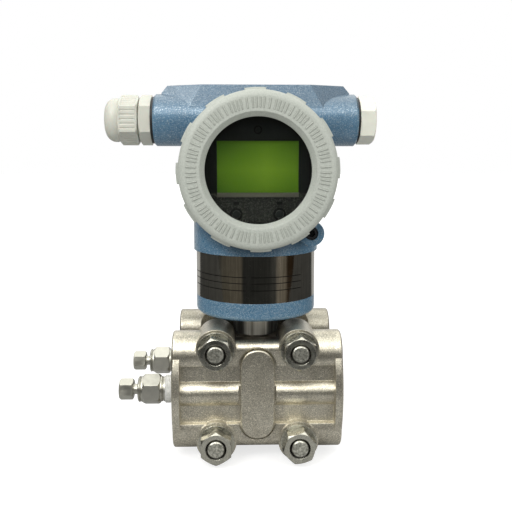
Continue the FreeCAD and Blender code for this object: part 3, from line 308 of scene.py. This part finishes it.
def blue_painted_shade(m):
    """How much painted shade the housing gets, from 0 to 1: over the hubs, on faces tilted up to the right,
    and a painted shadow under the cover's rim.
    """
    x, y, z = m.axes()
    above = m.spread(z, *HUB_SHADE_RISE, 0.0, HUB_SHADE)
    right, _, up = m.axes(m.add("ShaderNodeNewGeometry", output="Normal"))
    tilted = m.product(m.spread(right, *TILTED_RIGHT, 0.0, 1.0), m.spread(up, *TILTED_UP, 0.0, 1.0))
    tilted = m.product(tilted, TILTED_SHADE)
    across = m.math("SUBTRACT", x, WINDOW.x)
    rise = m.math("SUBTRACT", z, WINDOW.z)
    near = m.spread(m.distance(across, rise), *RIM_SHADOW_REACH, RIM_SHADOW, 0.0)
    under = m.product(near, m.spread(rise, *RIM_SHADOW_DROP, 0.0, 1.0), m.math("LESS_THAN", y, 0.0))
    return m.math("MAXIMUM", m.math("MAXIMUM", above, tilted), under)


def blue_paint():
    """Metallic paint with a fine bright flake over a slightly uneven coat."""
    m = Coat("blue_paint", Specular_IOR_Level=0.75, Coat_Weight=0.25, Coat_Roughness=0.2)
    flake = m.flecks(FLAKE)
    base = m.ramp(flake, (0.0, (0.06, 0.155, 0.255)), (0.6, (0.09, 0.205, 0.32)),
                  (FLAKE_BRIGHT[0], (0.13, 0.255, 0.375)), (FLAKE_BRIGHT[1], (0.42, 0.52, 0.60)))
    # painted shade and a painted shadow darken the base towards a dark blue and dull the flakes
    painted_shade = blue_painted_shade(m)
    cloud = m.ramp(m.noise(55, 3), (0.35, grey(0.88)), (0.65, grey(1.0)))
    base = m.tinted(m.blend(painted_shade, base, BLUE_SHADE), cloud)
    mirror = m.product(m.spread(flake, *FLAKE_BRIGHT, 0.0, 0.5), m.spread(painted_shade, 0.0, 1.0, 1.0, 0.2))
    rough = m.spread(m.noise(1400, 1), 0.3, 0.7, 0.25, 0.36)
    skin = m.bump(m.noise(700, 2), 0.06 * MM, 0.7, m.soft_edges(0.7 * MM))
    skin = m.bump(flake, 0.05 * MM, 0.8, skin)
    return m.finish(Base_Color=base, Metallic=mirror, Roughness=rough, Normal=skin)


def mark_edges(m):
    """Painted shade at the edges of the raised bars: a quarter there, falling to 0 on them and between them.
    """
    x, y, z = m.axes()
    x = m.math("SUBTRACT", x, WINDOW.x)
    z = m.math("SUBTRACT", z, WINDOW.z)
    turn = m.math("MULTIPLY", m.math("ARCTAN2", z, x), MARKS / (2 * math.pi))
    whole = m.math("FLOOR", turn)
    across = m.product(m.off(m.math("SUBTRACT", turn, whole), 0.5), 2 * math.pi * MARK_MIDDLE / MARKS)

    def band(value, centre, half):
        return m.spread(m.off(value, centre), half - MARK_SOFT, half + MARK_SOFT, 1.0, 0.0)

    alone = m.math("COMPARE", m.math("FLOORED_MODULO", whole, MARK_CYCLE), 0.0, 0.5)
    bars = m.blend_values(alone, band(across, PAIR_OFF, PAIR_STROKE), band(across, 0.0, MARK_STROKE))
    ring = band(m.distance(x, z), MARK_MIDDLE, MARK_LENGTH / 2)
    raised = m.product(bars, ring, m.math("LESS_THAN", y, WINDOW.y))
    return m.product(raised, m.math("SUBTRACT", 1.0, raised))


def cover_paint(name, marked=False):
    """Pale powder coat with a fine grain, and on the front cover painted shade round its bars."""
    m = Coat(name, Roughness=0.5, Coat_Weight=0.08, Coat_Roughness=0.4)
    grain = m.noise(1500, 3, 0.6)
    base = m.ramp(grain, (0.3, (0.37, 0.395, 0.35)), (0.5, (0.44, 0.465, 0.42)), (0.75, (0.50, 0.52, 0.47)))
    if marked:
        # painted shade at the foot of each bar
        base = m.blend(m.product(mark_edges(m), MARK_SHADE), base, (0.16, 0.165, 0.14))
    skin = m.bump(grain, 0.12 * MM, 0.6, m.soft_edges(0.9 * MM))
    return m.finish(Base_Color=base, Normal=skin)


def step_painted_shade(m):
    """1 in the step under the neck, where shade is painted, 0 elsewhere."""
    x, y, z = m.axes()
    beside = m.spread(m.off(x, NECK_X), *STEP_SIDE, 1.0, 0.0)
    behind = m.spread(m.math("ABSOLUTE", y), *STEP_FRONT, 1.0, 0.0)
    return m.product(beside, behind, m.math("GREATER_THAN", z, STEP_LEVEL))


def cast_steel(name, shade=1.0):
    """Bead-blasted stainless casting: satin, warm grey, sandy, with painted shade in the step under the neck;
    a shade below 1 darkens it all as painted shade.
    """
    m = Coat(name, Metallic=1.0)
    patch = m.noise(90, 3)
    base = m.ramp(patch, (0.3, (0.51, 0.475, 0.39)), (0.5, (0.57, 0.535, 0.445)), (0.72, (0.62, 0.585, 0.49)))
    sand = m.ramp(m.flecks(FLAKE), (0.0, grey(0.62 * shade)), (0.5, grey(0.97 * shade)),
                  (0.9, grey(1.22 * shade)), (0.97, shaded((1.6, 1.62, 1.7), shade)))
    # painted shade in the step under the neck
    base = m.blend(step_painted_shade(m), m.tinted(base, sand), BROWN_SHADE)
    grain = m.noise(1900, 3, 0.65)
    rough = m.spread(grain, 0.25, 0.75, 0.30, 0.46)
    waves = m.bump(m.noise(160, 2), 0.12 * MM, 0.25, m.soft_edges(0.5 * MM))
    return m.finish(Base_Color=base, Roughness=rough, Normal=m.bump(grain, 0.09 * MM, 0.75, waves))


def bright_steel(name, roughness, colour):
    """Turned stainless, with fine tool marks and faint smears."""
    m = Coat(name, Metallic=1.0)
    smear = m.noise(260, 4, 0.6)
    base = m.ramp(smear, (0.3, shaded(colour, 0.82)), (0.7, colour))
    skin = m.bump(m.noise(2600, 2), 0.03 * MM, 0.6, m.soft_edges(0.4 * MM))
    return m.finish(Base_Color=base, Roughness=m.spread(smear, 0.3, 0.7, *roughness), Normal=skin)


def stud_steel():
    """Sawn ends, mottled, with painted shade in the thread round them."""
    m = Coat("stud_steel", Metallic=1.0)
    x, _, z = m.axes()
    across = m.math("SUBTRACT", m.off(x, CAPSULE.x), STUD_PLACE[0])
    up = m.math("SUBTRACT", m.off(z, CAPSULE.z), STUD_PLACE[1])
    patch = m.noise(650, 4, 0.7)
    base = m.ramp(patch, (0.38, (0.24, 0.24, 0.205)), (0.5, (0.44, 0.435, 0.38)), (0.62, (0.72, 0.71, 0.64)))
    # painted shade in the thread round each stud
    thread_shade = m.spread(m.distance(across, up), *THREAD_SHADE, 0.0, 1.0)
    base = m.blend(thread_shade, base, (0.045, 0.043, 0.038))
    skin = m.bump(patch, 0.3 * MM, 0.5, m.soft_edges(0.4 * MM))
    return m.finish(Base_Color=base, Roughness=m.spread(patch, 0.3, 0.7, 0.55, 0.35), Normal=skin)


def neck_steel():
    """Turned neck with upright streaks, and a painted highlight that makes it brighter at its front and back,
    with painted shade at its sides.
    """
    m = Coat("neck_steel", Metallic=0.35)
    streak = m.streaks(420, 0.02)
    base = m.ramp(streak, (0.38, (0.26, 0.245, 0.20)), (0.5, (0.66, 0.635, 0.55)), (0.6, (0.95, 0.92, 0.82)))
    # painted highlight down the neck's front and back, painted shade at its sides
    side = m.math("MULTIPLY", m.off(m.axes()[0], NECK_X), 1 / NECK_SHADING)
    shade = m.ramp(side, (0.0, grey(1.0)), (0.45, grey(0.95)), (0.6, grey(0.16)), (1.0, grey(0.22)))
    rough = m.spread(streak, 0.3, 0.7, 0.3, 0.2)
    return m.finish(Base_Color=m.tinted(base, shade), Roughness=rough, Normal=m.soft_edges(0.4 * MM))


def mirror_plate():
    """Polished sheet, nearly a mirror, with a faint bow in it and three engraved lines."""
    m = Coat("mirror_plate", Metallic=1.0)
    low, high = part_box("nameplate")
    smear = m.noise(120, 4, 0.6)
    rough = m.spread(smear, 0.3, 0.7, 0.05, 0.12)
    base = m.ramp(smear, (0.3, (0.40, 0.385, 0.34)), (0.7, (0.48, 0.46, 0.41)))
    base = m.tinted(base, m.ramp(m.streaks(900, 0.04), (0.35, grey(0.8)), (0.65, grey(1.1))))
    x, y, z = m.axes()
    side = m.off(x, (low.x + high.x) / 2 - RULE_SHIFT)
    lined = m.product(m.math("LESS_THAN", side, RULE_HALF_LENGTH), m.math("LESS_THAN", y, 0.0),
                      m.math("GREATER_THAN", side, RULE_GAP_HALF))
    for rise in RULE_RISES:
        line = m.product(m.math("LESS_THAN", m.off(z, low.z + rise), RULE_HALF_WIDTH), lined)
        base = m.blend(line, base, (0.012, 0.011, 0.010))
        rough = m.math("MAXIMUM", rough, m.product(line, 0.6))
    return m.finish(Base_Color=base, Roughness=rough, Normal=m.bump(m.noise(60, 1), 0.4 * MM, 0.25))


def bezel_face():
    """Black moulding: a lighter, grainy lower panel, its lit ledge, dark rings and plain button marks."""
    m = Coat("bezel_face", Roughness=0.5, Specular_IOR_Level=0.15)
    x, y, z = m.axes()
    grain = m.noise(2600, 2)
    upper = m.ramp(grain, (0.3, (0.012, 0.014, 0.013)), (0.7, (0.019, 0.021, 0.019)))
    lower = m.ramp(m.flecks(1900), (0.0, (0.018, 0.019, 0.017)), (0.6, (0.037, 0.038, 0.033)),
                   (1.0, (0.10, 0.10, 0.088)))
    ledge_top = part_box("lcd_panel")[0].z + LCD_MARGIN
    base = m.blend(m.math("LESS_THAN", z, ledge_top), upper, lower)
    on_ledge = m.math("COMPARE", z, ledge_top - LEDGE_HEIGHT / 2, LEDGE_HEIGHT / 2)
    proud = m.math("LESS_THAN", y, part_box("display_bezel")[0].y + LEDGE_DEPTH)
    base = m.blend(m.product(on_ledge, proud), base, (0.17, 0.16, 0.13))
    buttons = [middle("left_button"), middle("right_button")]
    dimple = WINDOW + Vector((0, 0, DIMPLE_RISE))
    for place, ring in ((buttons[0], BUTTON_RING), (buttons[1], BUTTON_RING), (dimple, DIMPLE_RING)):
        away = m.distance(m.math("SUBTRACT", x, place.x), m.math("SUBTRACT", z, place.z))
        base = m.blend(m.math("COMPARE", away, *ring), base, grey(0.002))
    for place in buttons:
        beside = m.math("COMPARE", x, place.x, BUTTON_MARK[0])
        level = m.math("COMPARE", z, place.z + BUTTON_MARK_RISE, BUTTON_MARK[1])
        base = m.blend(m.product(beside, level), base, grey(0.004))
    return m.finish(Base_Color=base, Normal=m.bump(grain, 0.06 * MM, 0.5, m.soft_edges(0.3 * MM)))


def wound_tape():
    """White film wound round a thread: fine ridges along the turns, a few loose wrinkles."""
    m = Coat("white_tape", Roughness=0.5)
    turns = m.math("SINE", m.product(m.axes()[0], 2 * math.pi / TAPE_PITCH))
    wrinkle = m.noise(420, 3, 0.6)
    height = m.math("ADD", m.product(turns, 0.35), wrinkle)
    base = m.ramp(wrinkle, (0.35, (0.62, 0.63, 0.60)), (0.6, (0.80, 0.80, 0.78)))
    return m.finish(Base_Color=base, Normal=m.bump(height, 0.4 * MM, 0.8, m.soft_edges(0.5 * MM)))


def nylon(name, tone):
    """Moulded nylon, slightly yellow and slightly see-through at its skin."""
    m = Coat(name, Roughness=0.42, Subsurface_Weight=0.08, Subsurface_Scale=2.0 * MM)
    colour = (tone, tone, tone * 0.88)
    base = m.ramp(m.noise(140, 2), (0.3, shaded(colour, 0.95)), (0.7, shaded(colour, 1.05)))
    skin = m.bump(m.noise(900, 2), 0.05 * MM, 0.5, m.soft_edges(0.6 * MM))
    return m.finish(Base_Color=base, Normal=skin)


def plain(name, colour, rough, metal=0.0):
    """A moulded or coated surface of one colour, with a little variation and a fine grain."""
    m = Coat(name, Metallic=metal)
    grain = m.noise(1200, 2)
    base = m.ramp(grain, (0.3, shaded(colour, 0.8)), (0.7, colour))
    roughness = m.spread(grain, 0.3, 0.7, rough * 0.85, rough * 1.1)
    skin = m.bump(grain, 0.05 * MM, 0.5, m.soft_edges(0.3 * MM))
    return m.finish(Base_Color=base, Roughness=roughness, Normal=skin)


def clear_glass():
    """Window glass with a faint green tint."""
    m = Coat("clear_glass", Transmission_Weight=1.0, IOR=1.46, Roughness=0.0)
    return m.finish(Base_Color=m.ramp(m.noise(30, 1), (0.0, (0.93, 0.96, 0.95)), (1.0, (0.96, 0.98, 0.97))))


def display_green():
    """Green panel with a faint glow of its own colour: a painted reflection makes it brighter to the right of
    the middle, painted shade darker at its edges.
    """
    m = Coat("display_green", Roughness=0.35, Emission_Strength=0.4)
    low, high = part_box("lcd_panel")
    x, _, z = m.axes()
    # a painted reflection right of the middle and painted shade towards the edges
    side = m.off(m.spread(x, low.x, high.x, 0.0, 1.0), DISPLAY_HIGHLIGHT[0])
    rise = m.off(m.spread(z, low.z, high.z, 0.0, 1.0), DISPLAY_HIGHLIGHT[1])
    base = m.ramp(m.math("ADD", side, rise), (0.0, (0.145, 0.26, 0.014)), (0.45, (0.088, 0.182, 0.006)),
                  (1.0, (0.04, 0.10, 0.003)))
    return m.finish(Base_Color=base, Emission_Color=base)


MATERIALS = {
    "blue_paint": blue_paint(),
    "cover_paint": cover_paint("cover_paint"),
    "cast_steel": cast_steel("cast_steel"),
    "bright_steel": bright_steel("bright_steel", (0.16, 0.3), (0.58, 0.565, 0.53)),
    "mirror_plate": mirror_plate(),
    "nylon": nylon("nylon", 0.6),
    "black_rubber": plain("black_rubber", (0.018, 0.018, 0.019), 0.62),
    "clear_glass": clear_glass(),
    "black_plastic": plain("black_plastic", (0.017, 0.021, 0.020), 0.42),
    "display_green": display_green(),
    "board": plain("board", (0.02, 0.13, 0.05), 0.35),
    "potting": plain("potting", (0.045, 0.045, 0.05), 0.5),
    "brass": plain("brass", (0.72, 0.52, 0.22), 0.28, metal=1.0),
    "white_tape": wound_tape(),
    "white_gasket": plain("white_gasket", (0.78, 0.78, 0.76), 0.4),
    "black_oxide": plain("black_oxide", (0.05, 0.052, 0.058), 0.32, metal=0.6),
}

# Nodes that need more than their slot's material, and nodes that look the same as one of them
OWN_MATERIALS = {
    "front_cover": cover_paint("cover_paint_marked", marked=True),
    "display_bezel": bezel_face(),
    "neck_tube": neck_steel(),
    # the capsule gets a darker copy of the turned steel: painted shade
    "sensor_capsule": bright_steel("capsule_steel_shaded", (0.25, 0.4), (0.20, 0.18, 0.15)),
    # the rear flange gets a darker copy of the casting: painted shade
    "rear_flange": cast_steel("cast_steel_rear_shaded", 0.64),
    # the plug gets a lighter copy of the nylon: painted light making up for the dimmer light from the right
    "blanking_plug": nylon("nylon_plug_lightened", 0.8),
    "clamp_studs": stud_steel(),
    "front_nuts": bright_steel("nut_steel", (0.2, 0.34), (0.52, 0.51, 0.445)),
    "front_vent_body": bright_steel("vent_steel", (0.28, 0.42), (0.52, 0.51, 0.455)),
    "front_vent_stem": bright_steel("stem_steel", (0.32, 0.46), (0.53, 0.52, 0.46)),
}
SAME_AS = {
    "rear_nuts": "front_nuts",
    "front_washers": "front_nuts",
    "rear_washers": "front_nuts",
    "rear_vent_body": "front_vent_body",
    "rear_vent_stem": "front_vent_stem",
}


def dress_frame():
    """Each CAD node gets its own material, or else the one of its slot."""
    slots = {part["node"]: part["material_slot"] for part in frame["record"]["subparts"]}
    for name, node in frame["nodes"].items():
        node.data.materials.clear()
        node.data.materials.append(OWN_MATERIALS.get(SAME_AS.get(name, name), MATERIALS[slots[name]]))


# Pieces added to the frame

def linked(thing):
    bpy.context.scene.collection.objects.link(thing)
    return thing


def mark_places():
    """Turn and half width of each plain bar round the window."""
    for whole in range(-MARKS // 2, MARKS // 2):
        angle = (whole + 0.5) * 2 * math.pi / MARKS
        if whole % MARK_CYCLE == 0:
            yield angle, MARK_STROKE
        else:
            for side in (-1, 1):
                yield angle + side * PAIR_OFF / MARK_MIDDLE, PAIR_STROKE


def add_bar(shape, face_at, angle, half):
    """One bar, along a radius of the window: a foot sunk in the cover's face and a narrower top."""
    out = Vector((math.cos(angle), 0, math.sin(angle)))
    side = Vector((-math.sin(angle), 0, math.cos(angle)))
    top = half * MARK_TOP
    section = ((-half, -MARK_ROOT), (-top, MARK_HEIGHT), (top, MARK_HEIGHT), (half, -MARK_ROOT))
    rings = []
    for length in (-MARK_LENGTH / 2, 0.0, MARK_LENGTH / 2):
        ring = []
        for across, lift in section:
            spot = WINDOW + out * (MARK_MIDDLE + length) + side * across
            ring.append(shape.verts.new((spot.x, face_at(spot) - lift, spot.z)))
        rings.append(ring)
    for first, second in zip(rings, rings[1:]):
        for n in range(4):
            shape.faces.new((first[n], first[(n + 1) % 4], second[(n + 1) % 4], second[n]))
    shape.faces.new(reversed(rings[0]))
    shape.faces.new(rings[-1])


def make_marks():
    """Raised bars that follow the cover's face, with rounded edges."""
    cover = frame["nodes"]["front_cover"].data
    tree = BVHTree.FromPolygons([v.co for v in cover.vertices], [p.vertices for p in cover.polygons])
    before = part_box("front_cover")[0].y - 10 * MM

    def face_at(spot):
        return tree.ray_cast(Vector((spot.x, before, spot.z)), Vector((0, 1, 0)))[0].y

    shape = bmesh.new()
    for angle, half in mark_places():
        add_bar(shape, face_at, angle, half)
    bmesh.ops.recalc_face_normals(shape, faces=shape.faces)
    mesh = bpy.data.meshes.new("cover_marks")
    shape.to_mesh(mesh)
    shape.free()
    mesh.materials.append(MATERIALS["cover_paint"])
    piece = linked(bpy.data.objects.new("cover_marks", mesh))
    bevel = piece.modifiers.new("rounding", "BEVEL")
    bevel.width = MARK_ROUND
    bevel.segments = 2
    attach(piece, "front_lid")


# Floor, light and camera

def floor_material():
    """White floor that keeps the object's shadow but shows as white elsewhere."""
    m = Coat("floor_white", Roughness=0.9, Emission_Color=grey(1.0))
    away = m.add("ShaderNodeVectorMath", output="Value", settings={"operation": "DISTANCE"}, _0=m.place(),
                 _1=(NECK_X, 0.0, CAD_BOX[0].z))
    waver = m.spread(m.noise(9, 2), 0.0, 1.0, -FLOOR_WAVER, FLOOR_WAVER)
    far = m.spread(m.math("ADD", away, waver), *FLOOR_SHEET, 0.0, 1.0)
    x, y, _ = m.axes()
    behind = m.math("SUBTRACT", y, m.product(m.off(x, NECK_X), FLOOR_WEDGE))
    dark = m.product(far, m.spread(behind, 0.0, WEDGE_EDGE, 1.0, 0.0))
    tone = m.ramp(dark, (0.0, grey(FLOOR_TONES[0])), (1.0, grey(FLOOR_TONES[1])))
    glow = m.spread(dark, 0.0, 1.0, FLOOR_GLOW, 1.0)
    return m.finish(Base_Color=tone, Emission_Strength=m.product(m.ray("Is Camera Ray"), glow))


def make_floor(height):
    mesh = bpy.data.meshes.new("floor")
    outline = ((-1, FLOOR_FRONT), (1, FLOOR_FRONT), (1, FLOOR_HALF), (-1, FLOOR_HALF))
    mesh.from_pydata([(side * FLOOR_HALF, y, height) for side, y in outline], [], [(0, 1, 2, 3)])
    mesh.materials.append(floor_material())
    linked(bpy.data.objects.new("floor", mesh))


def make_world():
    """White for the camera, an even room for rough faces, and a room with a soft box for glossy rays."""
    world = bpy.data.worlds.new("studio")
    bpy.context.scene.world = world
    world.use_nodes = True
    w = Tree(world.node_tree)
    x, y, height = w.axes(w.add("ShaderNodeTexCoord", output="Generated"))
    turn = w.spread(w.math("ARCTAN2", x, w.product(y, -1.0)), -math.pi, math.pi, 0.0, 1.0)
    glossy = w.ray("Is Glossy Ray")

    def turned(degrees):
        return 0.5 + degrees / 360

    def window(value, edges):
        """1 between the middle two edges, falling to 0 at the outer two."""
        return w.ramp(value, (0.0, grey(0.0)), *zip(edges, (grey(0.0), grey(1.0), grey(1.0), grey(0.0))))

    room = w.ramp(turn, *[(turned(degrees), colour) for degrees, colour in ROOM])
    above = w.spread(height, *CEILING_BAND, 0.0, 1.0, "SMOOTHSTEP")
    around = w.blend(above, w.blend(glossy, ROOM_LIGHT, room), w.blend(glossy, CEILING, CEILING_SHINE))
    softbox = window(turn, [turned(degrees) for degrees in SOFTBOX_TURNS])
    lit = w.product(window(height, SOFTBOX_HEIGHTS), softbox, glossy)
    around = w.blend(w.ray("Is Camera Ray"), w.blend(lit, around, SOFTBOX), grey(1.0))
    background = w.nodes["Background"]
    w.feed(background.inputs["Color"], around)
    w.feed(background.inputs["Strength"], 1.0)


def make_lamps():
    for name, place, size, power in LAMPS:
        lamp = bpy.data.lights.new(name, "AREA")
        lamp.shape = "RECTANGLE"
        lamp.size, lamp.size_y = size
        lamp.energy = power
        thing = linked(bpy.data.objects.new(name, lamp))
        thing.location = Vector(place) + Vector((NECK_X, 0, 0))
        thing.rotation_mode = "QUATERNION"
        thing.rotation_quaternion = (Vector((NECK_X, 0, LAMP_AIM)) - thing.location).to_track_quat("-Z", "Y")


def make_camera():
    data = bpy.data.cameras.new("photo_camera")
    data.sensor_width = SENSOR_WIDTH
    data.lens = FOCAL_PIXELS / PHOTO_WIDTH * SENSOR_WIDTH
    data.shift_y = -PRINCIPAL_ABOVE_CENTRE / PHOTO_WIDTH
    camera = linked(bpy.data.objects.new("photo_camera", data))
    camera.location = CAMERA_PLACE + Vector((NECK_X, 0, 0))
    camera.rotation_euler = (math.radians(90 - CAMERA_PITCH), 0, math.radians(-CAMERA_YAW))
    bpy.context.scene.camera = camera


dress_frame()
make_marks()
make_camera()
make_world()
make_lamps()
make_floor(CAD_BOX[0].z)
bpy.context.scene.view_settings.view_transform = "Standard"

bpy.context.view_layer.update()
